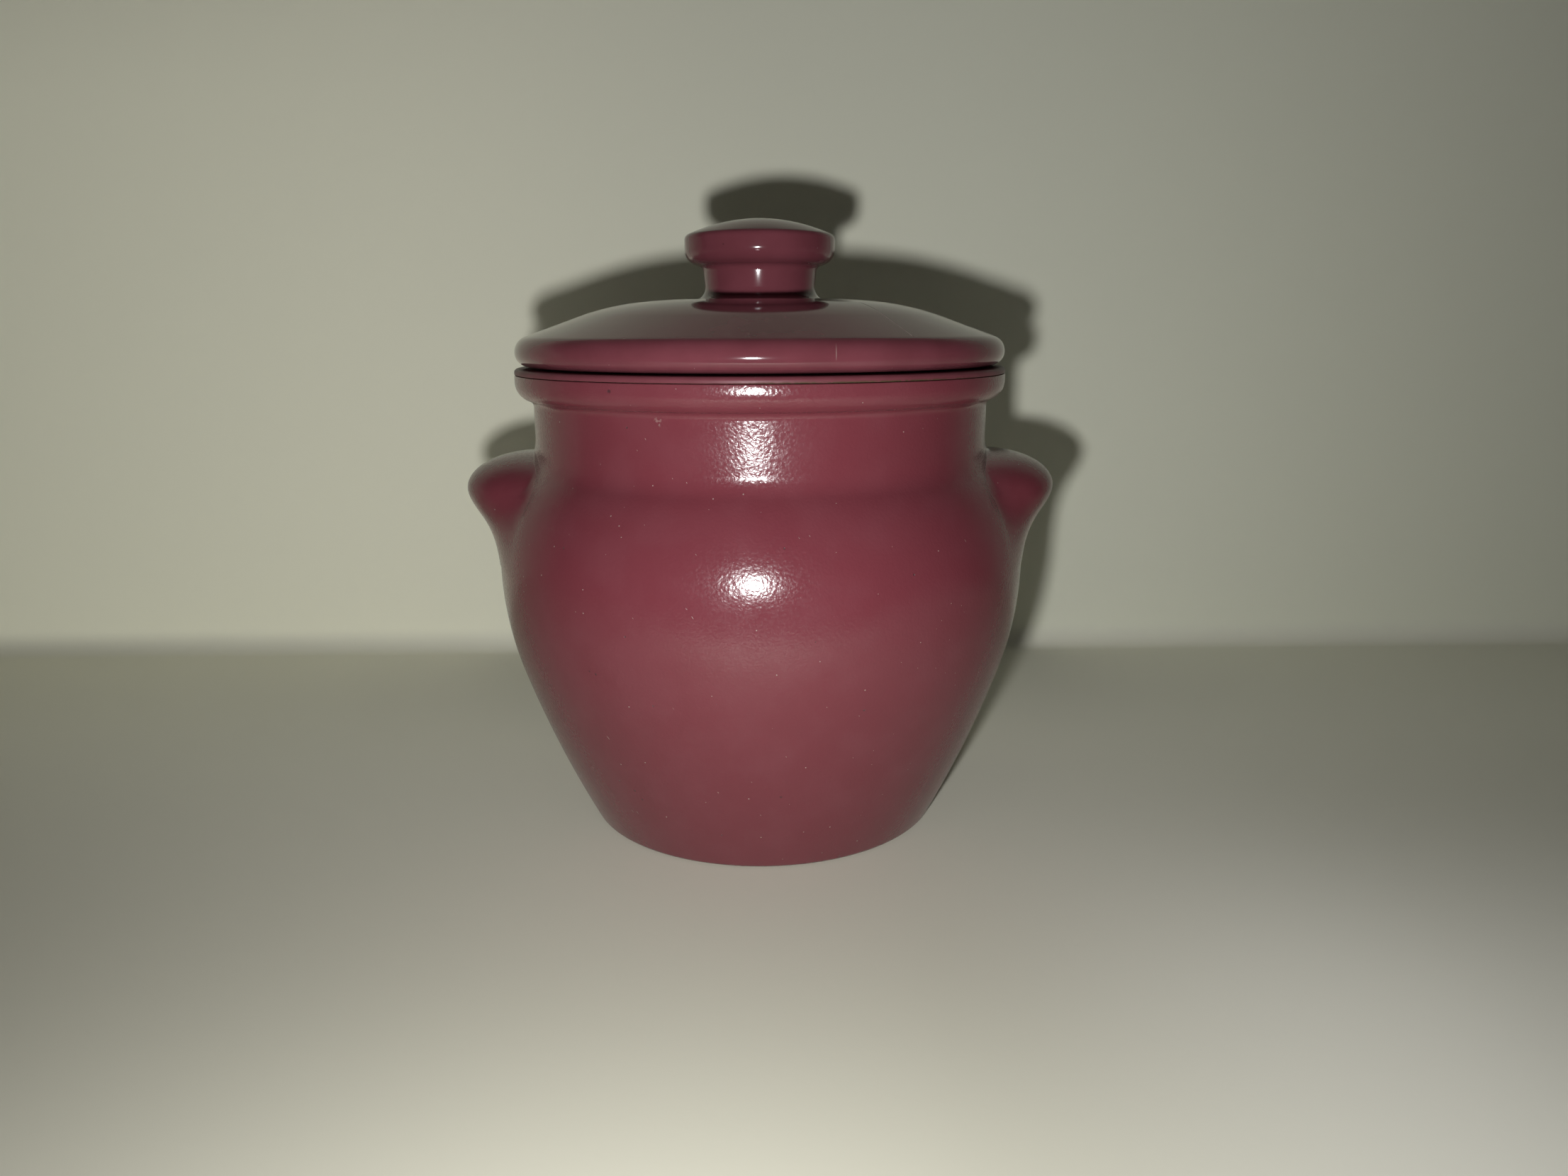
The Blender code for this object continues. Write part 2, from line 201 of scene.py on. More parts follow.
def make_card():
    """Matt pale card, see-through from behind, with painted light and shade and a faint painted glow.
    """
    material, shader, place = start_finish("pale_card")
    across, depth, height = along(place, "X"), along(place, "Y"), along(place, "Z")
    # Painted light and shade on the floor: darker just in front of the pot, paler behind it, at the
    # right front and further forward.
    ground = painted(ramp(depth, *FRONT_TO_BACK), FLOOR_PAINTED_SHADE_FRONT, FLOOR_PAINTED_LIGHT_BACK)
    painted_light_side = ramp(across, *PAINTED_LIGHT_SIDE) * ramp(depth, *PAINTED_LIGHT_SIDE_DEPTH)
    ground = painted(painted_light_side, ground, FLOOR_PAINTED_LIGHT)
    ground = painted(ramp(depth, *PAINTED_LIGHT_FRONT), ground, FLOOR_PAINTED_LIGHT)
    # Painted light and shade on the backdrop: paler on the left, darker on the right.
    wall = painted(ramp(across, *WALL_ACROSS), BACKDROP_PAINTED_LIGHT_LEFT, BACKDROP_PAINTED_SHADE_RIGHT)
    # Painted shade: the backdrop darkens towards its top.
    wall = painted(ramp(height, *WALL_PAINTED_SHADE_HEIGHTS), wall, BACKDROP_PAINTED_SHADE_HIGH)
    turned_up = ramp(height, 0.0, SWEEP_RADIUS * 1000.0)
    painted(turned_up, ground, wall).into(shader, "Base Color")
    # A painted glow: the backdrop gives off a faint light of its own, strongest on the left.
    painted_glow = ramp(across, *PAINTED_GLOW_ACROSS) * turned_up * ramp(height, *PAINTED_GLOW_ENDS)
    painted(painted_glow, NO_PAINTED_GLOW, WALL_PAINTED_GLOW).into(shader, "Emission Color")
    shader.inputs["Emission Strength"].default_value = 1.0
    shader.inputs["Roughness"].default_value = CARD_ROUGHNESS
    shader.inputs["Specular IOR Level"].default_value = CARD_SPECULAR
    emboss(clouds(place, CARD_GRAIN) * CARD_RELIEF, shader)
    behind = place.make("ShaderNodeNewGeometry", {}, {}, "Backfacing")
    clear = place.make("ShaderNodeBsdfTransparent", {}, {})
    faced = place.make("ShaderNodeMixShader", {}, {
        0: behind, 1: Signal(place.tree, shader.outputs[0]), 2: clear})
    faced.into(place.tree.nodes["Material Output"], "Surface")
    return material


def make_sheet(name, run, card):
    """A wide sheet that follows a run of (depth, height) points."""
    shape = bmesh.new()
    rows = []
    for across in (-SHEET_HALF_WIDTH, SHEET_HALF_WIDTH):
        rows.append([shape.verts.new((across, depth, height)) for depth, height in run])
    for step in range(len(run) - 1):
        shape.faces.new((rows[0][step], rows[1][step], rows[1][step + 1], rows[0][step + 1]))
    mesh = bpy.data.meshes.new(name)
    shape.to_mesh(mesh)
    shape.free()
    mesh.shade_smooth()
    mesh.set_sharp_from_angle(angle=SHEET_CREASE)
    mesh.materials.append(card)
    sheet = bpy.data.objects.new(name, mesh)
    bpy.context.collection.objects.link(sheet)
    return sheet


swept = [(-SHEET_FRONT, 0.0)]
for step in range(SWEEP_STEPS + 1):
    angle = math.radians(90.0) * step / SWEEP_STEPS
    swept.append((BACKDROP_DISTANCE - SWEEP_RADIUS + SWEEP_RADIUS * math.sin(angle),
                  SWEEP_RADIUS - SWEEP_RADIUS * math.cos(angle)))
swept.append((BACKDROP_DISTANCE, SHEET_TOP))
pale_card = make_card()
make_sheet("card_sheet", swept, pale_card)
floor_front = make_sheet("card_floor", [(-FLOOR_FRONT, 0.0), (-SHEET_FRONT, 0.0)], pale_card)
floor_front.visible_glossy = False


# --- Studio light -----------------------------------------------------------------------
# A small round soft light just under the lens gives the form and the highlights down the
# middle. A broad soft light from above and two from behind fill the rest, with pale air.

KEY_PLACE = (-0.0105, -0.014, -0.014)   # left of the lens, below it and ahead of it
KEY_WIDTH = 0.008
KEY_POWER = 0.285
TOP_PLACE, TOP_WIDTH, TOP_POWER = (0.05, -0.10, 0.50), 0.50, 0.05
LEFT_BACK_PLACE, LEFT_BACK_POWER = (-0.35, 0.35, 0.25), 0.08
RIGHT_BACK_PLACE, RIGHT_BACK_POWER = (0.35, 0.35, 0.25), 0.04
BACK_WIDTH = 0.40
LIGHTS_AIM = (0.0, 0.0, 0.045)          # the middle of the pot
AIR_COLOUR = (0.60, 0.60, 0.56, 1.0)
AIR_STRENGTH = 0.012


def soft_light(name, place, width, power, mirrored=True):
    """A round soft light aimed at the pot. The gloss shows it unless mirrored is off."""
    lamp = bpy.data.lights.new(name, "AREA")
    lamp.shape = "DISK"
    lamp.size = width
    lamp.energy = power
    light = bpy.data.objects.new(name, lamp)
    light.location = place
    light.rotation_mode = "QUATERNION"
    aim = Vector(LIGHTS_AIM) - Vector(place)
    light.rotation_quaternion = aim.to_track_quat("-Z", "Y")
    light.visible_glossy = mirrored
    bpy.context.collection.objects.link(light)


beside_lens = camera.rotation_quaternion @ Vector(KEY_PLACE)
soft_light("key_light", camera.location + beside_lens, KEY_WIDTH, KEY_POWER)
soft_light("top_fill", TOP_PLACE, TOP_WIDTH, TOP_POWER, mirrored=False)
soft_light("left_back_fill", LEFT_BACK_PLACE, BACK_WIDTH, LEFT_BACK_POWER)
soft_light("right_back_fill", RIGHT_BACK_PLACE, BACK_WIDTH, RIGHT_BACK_POWER)

air = bpy.data.worlds.new("studio_air")
air.use_nodes = True
air.node_tree.nodes["Background"].inputs["Color"].default_value = AIR_COLOUR
air.node_tree.nodes["Background"].inputs["Strength"].default_value = AIR_STRENGTH
bpy.context.scene.world = air


# --- Pot ---------------------------------------------------------------------------------
# The body: one hollow moulding of satin plastic, with a round belly, a short neck under a
# proud rim, and two solid lugs that stand on the shoulder. It rests on a narrow foot ring.

LUG_REACH, BELLY_RADIUS, RIM_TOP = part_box("pot_shell")[1]
BELLY_HEIGHT = 0.0445
POT_WALL = 0.0018
FLANK_ARC = 0.055               # upper flank, below the belly
FLANK_TURN = math.radians(18.5)
LOWER_ARC = 0.190               # lower flank, nearly straight
FOOT_EDGE = 0.0016
FOOT_RING_WIDTH = 0.0022
FOOT_RECESS = 0.0012
SHOULDER_ARC = 0.023
SHOULDER_INSET = 0.0066
SHOULDER_FILLET = 0.005
NECK_LENGTH = 0.0074
RIM_PROUD = 0.0028
RIM_UNDER_ARC = 0.0029
RIM_FILLET = 0.0012
RIM_EDGE = 0.00018              # softening of the rim's own edges

LUG_BELOW_NECK = 0.0060         # from the foot of the neck down to the lug's tip
LUG_UPPER = 0.0056              # from the tip's height up to the lug's top
LUG_UNDER_SLOPE = 0.80          # how fast the underside runs in below the tip
LUG_UNDER_ROUND = 0.0022
LUG_HALF_ANGLE = math.radians(28.0)
LUG_END_POWER = 2.2             # how squarely the lug fades towards its two ends
LUG_END_HEIGHT = 0.25           # share of the upper part that is left at the ends
LUG_BLEND = 0.0042              # width of the soft join with the body
LUG_SINK = LUG_BLEND            # how deep the ends run into the body
LUG_TOP_CRISP = 0.7             # share of the soft join that is missing along the lug's top
LUG_NECK_FILLET = 0.0014
LUG_NECK_LEAN = 2.0             # how fast a lug's section runs into the neck above it

QUARTER = math.pi / 2
EDGE_TURN = math.radians(40.0)  # a sharper turn than this shows as an edge
AXIS_RING = 0.02                # the first ring round the axis, as a share of its disc
NECK_RADIUS = BELLY_RADIUS - SHOULDER_INSET
NECK_BORE = NECK_RADIUS - POT_WALL
RIM_RADIUS = NECK_RADIUS + RIM_PROUD
POT_FLOOR = FOOT_RECESS + POT_WALL
BELLY_CENTRE = (BELLY_RADIUS - SHOULDER_ARC, BELLY_HEIGHT)
FLANK_CENTRE = (BELLY_RADIUS - FLANK_ARC, BELLY_HEIGHT)
LOWER_CENTRE = (FLANK_CENTRE[0] - (LOWER_ARC - FLANK_ARC) * math.cos(FLANK_TURN),
                FLANK_CENTRE[1] + (LOWER_ARC - FLANK_ARC) * math.sin(FLANK_TURN))
NECK_ACROSS = NECK_RADIUS + SHOULDER_FILLET - BELLY_CENTRE[0]
NECK_UP = math.sqrt((SHOULDER_ARC + SHOULDER_FILLET) ** 2 - NECK_ACROSS ** 2)
NECK_TURN = math.atan2(NECK_UP, NECK_ACROSS)
NECK_CENTRE = (NECK_RADIUS + SHOULDER_FILLET, BELLY_HEIGHT + NECK_UP)
RIM_FILLET_CENTRE = (NECK_RADIUS + RIM_FILLET, NECK_CENTRE[1] + NECK_LENGTH)
RIM_ACROSS = RIM_FILLET_CENTRE[0] - (RIM_RADIUS - RIM_UNDER_ARC)
RIM_UP = math.sqrt((RIM_UNDER_ARC + RIM_FILLET) ** 2 - RIM_ACROSS ** 2)
RIM_TURN = math.atan2(RIM_UP, RIM_ACROSS)
RIM_ARC_CENTRE = (RIM_RADIUS - RIM_UNDER_ARC, RIM_FILLET_CENTRE[1] + RIM_UP)
LUG_TIP = NECK_CENTRE[1] - LUG_BELOW_NECK
LUG_FOOT = NECK_RADIUS + LUG_NECK_FILLET
LUG_CLEAR = LUG_TIP + LUG_UPPER + LUG_NECK_FILLET + LUG_BLEND / 2


def arc(centre, radius, start, end, steps):
    """Points of an arc from angle start to angle end, both ends included."""
    points = []
    for step in range(steps + 1):
        angle = start + (end - start) * step / steps
        points.append((centre[0] + radius * math.cos(angle), centre[1] + radius * math.sin(angle)))
    return points


def straight(start, end, steps):
    """Points of a straight run, without its first end."""
    points = []
    for step in range(1, steps + 1):
        share = step / steps
        points.append((start[0] + (end[0] - start[0]) * share, start[1] + (end[1] - start[1]) * share))
    return points


def turned(name, outline, angles, material, body):
    """A piece turned about Z from an outline whose two ends lie on the axis. A point of it
    is (radius, height), or a function of the angle that gives them.
    """
    shape = bmesh.new()
    rings = []
    for point in outline:
        ring = []
        for angle in angles:
            radius, height = point(angle) if callable(point) else point
            spoke = (radius * math.cos(angle), radius * math.sin(angle), height)
            ring.append(shape.verts.new(spoke))
            if radius == 0.0:
                break
        rings.append(ring)
    for lower, upper in zip(rings, rings[1:]):
        for step in range(len(angles)):
            following = (step + 1) % len(angles)
            corners = [lower[step % len(lower)], lower[following % len(lower)],
                       upper[following % len(upper)], upper[step % len(upper)]]
            shape.faces.new(list(dict.fromkeys(corners)))
    mesh = bpy.data.meshes.new(name)
    shape.to_mesh(mesh)
    shape.free()
    mesh.materials.append(material)
    mesh.shade_smooth()
    mesh.set_sharp_from_angle(angle=EDGE_TURN)
    piece = bpy.data.objects.new(name, mesh)
    bpy.context.collection.objects.link(piece)
    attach(piece, body)
    return piece


def body_radius(height):
    """The round body's radius at a height between the belly and the rim."""
    if height >= NECK_CENTRE[1]:
        return NECK_RADIUS
    if height >= BELLY_HEIGHT + SHOULDER_ARC * math.sin(NECK_TURN):
        return NECK_CENTRE[0] - math.sqrt(SHOULDER_FILLET ** 2 - (NECK_CENTRE[1] - height) ** 2)
    return BELLY_CENTRE[0] + math.sqrt(SHOULDER_ARC ** 2 - (height - BELLY_HEIGHT) ** 2)


def lug_section(height, top):
    """How far out a lug's section reaches at a height, where its top is at top."""
    above = height - top
    if above >= LUG_NECK_FILLET:
        return NECK_RADIUS - LUG_NECK_LEAN * (above - LUG_NECK_FILLET)
    if above >= 0.0:
        return LUG_FOOT - math.sqrt(LUG_NECK_FILLET ** 2 - (LUG_NECK_FILLET - above) ** 2)
    if height >= LUG_TIP:
        share = (height - LUG_TIP) / (top - LUG_TIP)
        return LUG_FOOT + (LUG_REACH - LUG_FOOT) * math.sqrt(1.0 - share ** 2)
    below = LUG_TIP - height
    return LUG_REACH - LUG_UNDER_SLOPE * (math.hypot(below, LUG_UNDER_ROUND) - LUG_UNDER_ROUND)


def lug_height(stretch, share, top):
    """The height at a share of one stretch of the lug's section, from below to above."""
    if stretch == "underside":
        return BELLY_HEIGHT + (LUG_TIP - BELLY_HEIGHT) * share
    if stretch == "nose":
        return LUG_TIP + (top - LUG_TIP) * math.sin(QUARTER * share)
    if stretch == "fillet":
        return top + LUG_NECK_FILLET * (1.0 - math.cos(QUARTER * share))
    return top + LUG_NECK_FILLET + (LUG_CLEAR - top - LUG_NECK_FILLET) * share


def shoulder_point(stretch, share):
    """A point of the shoulder and its two lugs, as a function of the angle."""
    def point(angle):
        from_middle = min(abs(math.remainder(angle, math.pi)) / LUG_HALF_ANGLE, 1.0)
        end = 1.0 - from_middle ** LUG_END_POWER
        top = LUG_TIP + LUG_UPPER * (LUG_END_HEIGHT + (1.0 - LUG_END_HEIGHT) * end)
        height = lug_height(stretch, share, top)
        radius = body_radius(height)
        rise = (lug_section(height, top) - radius + LUG_SINK) * end - LUG_SINK
        near = max(1.0 - abs(rise) / LUG_BLEND, 0.0)
        soft = 1.0 - LUG_TOP_CRISP * min(max((height - LUG_TIP) / (top - LUG_TIP), 0.0), 1.0)
        return radius + max(rise, 0.0) + near ** 2 * LUG_BLEND / 4.0 * soft, height
    return point


def pot_angles():
    """Angles round the pot, closest together where the lugs end."""
    lug_steps, body_steps, crowding = 56, 40, 1.3
    quarter = []
    for step in range(lug_steps):
        quarter.append(LUG_HALF_ANGLE * (1.0 - (1.0 - step / lug_steps) ** crowding))
    for step in range(body_steps):
        quarter.append(LUG_HALF_ANGLE + (QUARTER - LUG_HALF_ANGLE) * step / body_steps)
    half = quarter + [QUARTER] + [math.pi - angle for angle in reversed(quarter[1:])]
    return half + [angle + math.pi for angle in half]


def pot_outline():
    """Up the outside from the middle of the underside, over the rim and down the inside."""
    drop = LOWER_CENTRE[1] - FOOT_EDGE
    across = math.sqrt((LOWER_ARC - FOOT_EDGE) ** 2 - drop ** 2)
    foot_centre = (LOWER_CENTRE[0] + across, FOOT_EDGE)
    foot_turn = -math.atan2(drop, across)
    ring_inside = foot_centre[0] - FOOT_RING_WIDTH
    middle = (ring_inside - FOOT_RECESS, FOOT_RECESS)
    outline = [(0.0, FOOT_RECESS)] + straight((middle[0] * AXIS_RING, FOOT_RECESS), middle, 8)
    outline += straight(middle, (ring_inside, 0.0), 2)
    outline += arc(foot_centre, FOOT_EDGE, -QUARTER, foot_turn, 8)
    outline += arc(LOWER_CENTRE, LOWER_ARC, foot_turn, -FLANK_TURN, 22)[1:]
    outline += arc(FLANK_CENTRE, FLANK_ARC, -FLANK_TURN, 0.0, 14)[1:]
    for stretch, steps in (("underside", 30), ("nose", 22), ("fillet", 8), ("neck", 20)):
        for step in range(1, steps + 1):
            outline.append(shoulder_point(stretch, step / steps))
    outline += arc(RIM_FILLET_CENTRE, RIM_FILLET, math.pi, math.pi - RIM_TURN, 6)
    outline += arc(RIM_ARC_CENTRE, RIM_UNDER_ARC, -RIM_TURN, 0.0, 12)[1:]
    outline += arc((RIM_RADIUS - RIM_EDGE, RIM_TOP - RIM_EDGE), RIM_EDGE, 0.0, QUARTER, 4)
    outline += arc((NECK_BORE + RIM_EDGE, RIM_TOP - RIM_EDGE), RIM_EDGE, QUARTER, math.pi, 4)
    floor_angle = -math.asin((LOWER_CENTRE[1] - POT_FLOOR) / (LOWER_ARC - POT_WALL))
    outline += arc(NECK_CENTRE, SHOULDER_FILLET + POT_WALL, math.pi, math.pi + NECK_TURN, 8)
    outline += arc(BELLY_CENTRE, SHOULDER_ARC - POT_WALL, NECK_TURN, 0.0, 14)[1:]
    outline += arc(FLANK_CENTRE, FLANK_ARC - POT_WALL, 0.0, -FLANK_TURN, 8)[1:]
    outline += arc(LOWER_CENTRE, LOWER_ARC - POT_WALL, -FLANK_TURN, floor_angle, 12)[1:]
    inside_foot = outline[-1]
    outline += straight(inside_foot, (inside_foot[0] * AXIS_RING, POT_FLOOR), 8)
    outline.append((0.0, POT_FLOOR))
    return outline


ROSE = (0.138, 0.0300, 0.0400, 1.0)
ROSE_WORN = (0.152, 0.0400, 0.0510, 1.0)
GRIME = (0.040, 0.0150, 0.0180, 1.0)
LINT = (0.50, 0.43, 0.38, 1.0)
PITS = (((14.3, -39.0, 29.2), 0.40), ((-19.8, -29.8, 13.3), 0.35), ((7.2, -43.0, 40.5), 0.22),
        ((-24.1, -35.2, 33.7), 0.35), ((-18.7, -29.7, 11.9), 0.35), ((-20.9, -34.1, 73.9), 0.60))
SCUFF = ((-14.4, -34.9, 69.7), 1.9)     # place and size in millimetres, as the pits
SCUFF_STRENGTH = 0.6
GRAIN_SIZE = 0.42
GRAIN_RELIEF = 0.034
GLOSS_SIZE = 0.45
PATCH_SIZE = 7.0
SWELL_SIZE = 2.2
NEAR_RIM = (68.0, 74.0)                 # handling has paled the pot over these heights
SATIN_ROUGHNESS = 0.22
FIBRE_STRETCH = 9.0                     # length of a fibre over its width
FIBRE_HALF_LENGTH = 0.5
SATIN_PITS = (3.1, 0.18, 0.25, 0.0)     # spacing, size, share and shift
SATIN_SPECKS = (2.1, 0.14, 0.45, 40.0)
SATIN_FIBRES = (6.0, 35.0, 0.10)        # spacing, lean and share


def specks(place, spacing, size, share, shift):
    """1 in scattered round specks of this size: a share of cells, spacing apart, has one."""
    sockets = {0: place, 1: (shift, shift, shift)}
    moved = place.make("ShaderNodeVectorMath", {"operation": "ADD"}, sockets)
    cells = {"Vector": moved, "Scale": 1.0 / spacing}
    distance = place.make("ShaderNodeTexVoronoi", {}, cells, "Distance")
    shade = place.make("ShaderNodeTexVoronoi", {}, cells, "Color")
    chance = place.make("ShaderNodeSeparateColor", {}, {"Color": shade}, "Red")
    edge = size / spacing
    return ramp(distance, edge, edge * 0.5) * ramp(chance, 1.0 - share, 1.01 - share)


def fibres(place, spacing, lean, share):
    """1 in scattered short fibres that lean this many degrees from upright."""
    sockets = {"Vector": place, "Angle": math.radians(lean)}
    leaning = place.make("ShaderNodeVectorRotate", {"rotation_type": "Y_AXIS"}, sockets)
    sockets = {0: leaning, 1: (FIBRE_STRETCH, FIBRE_STRETCH, 1.0)}
    drawn = place.make("ShaderNodeVectorMath", {"operation": "MULTIPLY"}, sockets)
    return specks(drawn, spacing, FIBRE_HALF_LENGTH, share, lean)


def spot(place, centre, size):
    """1 at one ragged mark of this size around a point, in millimetres."""
    sockets = {0: place, 1: centre}
    away = place.make("ShaderNodeVectorMath", {"operation": "DISTANCE"}, sockets, "Value")
    ragged = clouds(place, size * 0.6) * size * 0.8
    return ramp(away + ragged, size, size * 0.6)


def make_satin():
    """Satin plastic with a fine sparkling grain, some pits, dust and rubbed patches."""
    material, shader, place = start_finish("satin_rose")
    grain = clouds(place, GRAIN_SIZE, 1.0)
    gloss = ramp(clouds(place, GLOSS_SIZE, 2.0), 0.40, 0.60)
    patches = clouds(place, PATCH_SIZE, 4.0)
    pits = specks(place, *SATIN_PITS)
    for centre, size in PITS:
        pits = pits + spot(place, centre, size)
    dust = specks(place, *SATIN_SPECKS) + fibres(place, *SATIN_FIBRES)
    dust = dust + spot(place, *SCUFF) * ramp(grain, 0.45, 0.6) * SCUFF_STRENGTH
    near_rim = ramp(along(place, "Z"), *NEAR_RIM)
    colour = painted(ramp(patches, 0.35, 0.75) * 0.6 + near_rim * 0.15, ROSE, ROSE_WORN)
    colour = painted(ramp(grain, 0.55, 0.80) * 0.12, colour, ROSE_WORN)
    colour = painted(pits * 0.8, colour, GRIME)
    colour = painted(ramp(dust, 0.2, 1.0) * 0.55, colour, LINT)
    colour.into(shader, "Base Color")
    (SATIN_ROUGHNESS - gloss * 0.08 + patches * 0.04 + pits * 0.3).into(shader, "Roughness")
    swells = clouds(place, SWELL_SIZE, 1.0) * 0.008
    emboss(grain * GRAIN_RELIEF + swells - pits * 0.05 + dust * 0.03, shader)
    return material


pot = turned("pot", pot_outline(), pot_angles(), make_satin(), "pot")
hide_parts("pot_shell")


# --- Liner cup ----------------------------------------------------------------------------
# A thin tapered cup of glossy plastic that hangs in the pot's mouth by its flange. It lies
# loose on the rim, and a hairline with a little trapped dirt shows where the two meet.

cup_low, cup_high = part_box("inner_cup")
FLANGE_TOP = cup_high.z
CUP_BASE = cup_low.z
SEAM = 0.00008
SLIP_GAP = 0.0004
CUP_WALL = 0.0013
CUP_DRAFT = math.radians(2.6)
CUP_CORNER = 0.0040
CUP_BEVEL = 0.0006
FLANGE_EDGE = 0.00010
FLANGE_BASE = RIM_TOP + SEAM
CUP_RADIUS = NECK_BORE - SLIP_GAP
CUP_MOUTH = CUP_RADIUS - CUP_WALL


def cup_outline():
    """Up the outside from the middle of the base, over the flange and down the inside."""
    taper = math.tan(CUP_DRAFT)
    foot = CUP_RADIUS - (FLANGE_BASE - CUP_BASE) * taper
    floor = CUP_BASE + CUP_WALL
    inner_corner = CUP_CORNER - CUP_WALL
    inner_foot = CUP_MOUTH - (FLANGE_TOP - floor) * taper
    corner_centre = (foot - CUP_CORNER, CUP_BASE + CUP_CORNER)
    outline = [(0.0, CUP_BASE)]
    outline += straight((foot * AXIS_RING, CUP_BASE), (corner_centre[0], CUP_BASE), 8)
    outline += arc(corner_centre, CUP_CORNER, -QUARTER, 0.0, 8)[1:]
    outline += straight(outline[-1], (CUP_RADIUS, FLANGE_BASE), 14)
    flange_foot = (RIM_RADIUS - FLANGE_EDGE, FLANGE_BASE + FLANGE_EDGE)
    outline += arc(flange_foot, FLANGE_EDGE, -QUARTER, 0.0, 3)
    outline += arc((RIM_RADIUS - CUP_BEVEL, FLANGE_TOP - CUP_BEVEL), CUP_BEVEL, 0.0, QUARTER, 8)
    mouth = (CUP_MOUTH + FLANGE_EDGE, FLANGE_TOP - FLANGE_EDGE)
    outline += arc(mouth, FLANGE_EDGE, QUARTER, math.pi, 3)
    outline += straight(outline[-1], (inner_foot, floor + inner_corner), 14)
    inner_centre = (inner_foot - inner_corner, floor + inner_corner)
    outline += arc(inner_centre, inner_corner, 0.0, -QUARTER, 8)[1:]
    outline += straight(outline[-1], (foot * AXIS_RING, floor), 8)
    outline.append((0.0, floor))
    return outline


def even_angles(count):
    """Angles all round, evenly spaced."""
    return [2.0 * math.pi * step / count for step in range(count)]


GLOSS_ROSE = (0.136, 0.0370, 0.0480, 1.0)
GLOSS_DEEP = (0.118, 0.0310, 0.0400, 1.0)
TRAPPED_DIRT = (0.055, 0.040, 0.018, 1.0)
DIRT_MIDDLE = math.radians(-68.0)       # the dirt lies round this angle, front right
DIRT_HALF_SPREAD = math.radians(34.0)
DIRT_FADES = (0.34, 0.05)               # heights over the seam in millimetres
HAIRLINE_FADES = (0.10, 0.0)
DIRT_BELOW = (-0.4, -0.1)               # the cup's wall, in the pot's mouth, stays clean
CUP_HAZE = 4.0
CUP_SPECULAR = 0.2
CUP_ROUGHNESS = 0.36


def around(place):
    """The angle round the pot's axis, in radians, 0 at the right lug."""
    return place.math("ARCTAN2", along(place, "Y"), along(place, "X"))


def make_cup_gloss():
    """Dulled gloss with dirt caught in the seam under the flange."""
    material, shader, place = start_finish("gloss_rose_cup")
    haze = clouds(place, CUP_HAZE, 3.0)
    broken = clouds(place, 0.9, 3.0)
    above_seam = along(place, "Z") - FLANGE_BASE * 1000.0
    away = abs(around(place) - DIRT_MIDDLE)
    dirt = ramp(above_seam, *DIRT_FADES)
    dirt = dirt * ramp(away, DIRT_HALF_SPREAD, DIRT_HALF_SPREAD * 0.4)
    dirt = dirt * ramp(broken, 0.35, 0.55) + ramp(above_seam, *HAIRLINE_FADES) * 0.5
    dirt = dirt * ramp(above_seam, *DIRT_BELOW)
    colour = painted(ramp(haze, 0.3, 0.7), GLOSS_ROSE, GLOSS_DEEP)
    painted(dirt * 0.8, colour, TRAPPED_DIRT).into(shader, "Base Color")
    shader.inputs["Specular IOR Level"].default_value = CUP_SPECULAR
    (CUP_ROUGHNESS + haze * 0.10 + dirt * 0.3).into(shader, "Roughness")
    emboss(clouds(place, 1.6, 1.0) * 0.004 + dirt * 0.02, shader)
    return material


cup = turned("liner_cup", cup_outline(), even_angles(256), make_cup_gloss(), "cup")
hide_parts("inner_cup")


# --- Lid and knob ---------------------------------------------------------------------------
# One glossy moulding: a low dome with a rounded edge, a mushroom knob cored out from below,
# and a spigot that drops into the cup. Handling has left hairline scratches and dust on it.

lid_low, lid_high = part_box("lid")
SPIGOT_FOOT = lid_low.z
LID_RADIUS = lid_high.y
KNOB_TOP = lid_high.z
LID_GAP = 0.0003
LID_WALL = 0.0016
LID_UNDER_ARC = 0.00215
LID_OVER_ARC = 0.00265
LID_SLOPE = math.radians(20.0)
LID_CROWN_FLAT = 0.0145
LID_CROWN_ARC = 0.0450
SPIGOT_WALL = 0.0014
KNOB_WAIST = 0.0090
KNOB_WAIST_TOP = 0.0092
KNOB_FOOT_FILLET = 0.0019
KNOB_NECK_FILLET = 0.0011
KNOB_NECK_TURN = math.radians(81.0)
KNOB_NECK_TOP = 0.0054
KNOB_RADIUS = 0.0122
KNOB_SIDE_ARC = 0.00245
KNOB_SIDE_START = math.radians(-72.0)
KNOB_EDGE_ARC = 0.0010
KNOB_EDGE_TURN = math.radians(62.0)
KNOB_TOP_FALL = 0.0024
KNOB_CORE = 0.0066
KNOB_CAP = 0.0022               # wall over the hollow

KNOB_AXIS_RING = 0.05           # the first ring round the axis, as a share of its disc
LID_BASE = FLANGE_TOP + LID_GAP
LID_EDGE_HEIGHT = LID_BASE + LID_UNDER_ARC
SPIGOT_RADIUS = CUP_MOUTH - SLIP_GAP
SPIGOT_INSIDE = SPIGOT_RADIUS - SPIGOT_WALL
SLOPE_FOOT = (LID_RADIUS - LID_OVER_ARC * (1.0 - math.sin(LID_SLOPE)),
              LID_EDGE_HEIGHT + LID_OVER_ARC * math.cos(LID_SLOPE))
SLOPE_TOP_RADIUS = LID_CROWN_FLAT + LID_CROWN_ARC * math.sin(LID_SLOPE)
CROWN = (SLOPE_FOOT[1] + (SLOPE_FOOT[0] - LID_CROWN_FLAT) * math.tan(LID_SLOPE)
         - LID_CROWN_ARC * (1.0 / math.cos(LID_SLOPE) - 1.0))


